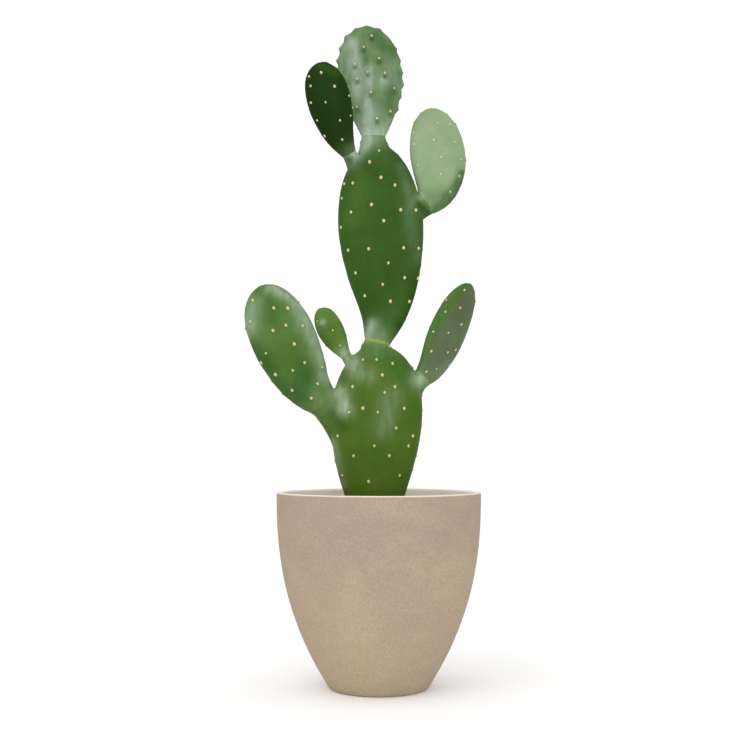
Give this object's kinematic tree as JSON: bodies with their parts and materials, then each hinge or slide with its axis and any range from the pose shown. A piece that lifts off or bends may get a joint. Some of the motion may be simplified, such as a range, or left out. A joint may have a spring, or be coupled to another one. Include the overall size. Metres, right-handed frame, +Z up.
{
  "type": "potted paddle cactus",
  "caption": "Branching paddle cactus of flat oval pads growing from soil in a round tapered stone-look planter.",
  "frame": {"origin": "centre of the planter's flat underside, on the surface that it stands on", "axes": "+Z up along the planter's axis, -Y towards the side that the broad faces of the pads look at, +X to the viewer's right"},
  "size_m": [0.3457, 0.301, 0.9911],
  "materials": {
    "planter_stone": "matte",
    "potting_mix": "matte",
    "root_bark": "matte",
    "mature_skin": "satin",
    "young_skin": "satin",
    "dark_skin": "satin",
    "pale_skin": "satin",
    "grey_skin": "satin"
  },
  "bodies": {
    "root": {"planter": "planter_stone", "potting_soil": "potting_mix", "roots": "root_bark", "trunk_pad": "mature_skin", "middle_pad": "mature_skin", "top_pad": "young_skin", "upper_left_pad": "dark_skin", "upper_right_pad": "pale_skin", "lower_left_pad": "mature_skin", "bud_pad": "mature_skin", "lower_right_pad": "grey_skin"}
  },
  "joints": []
}
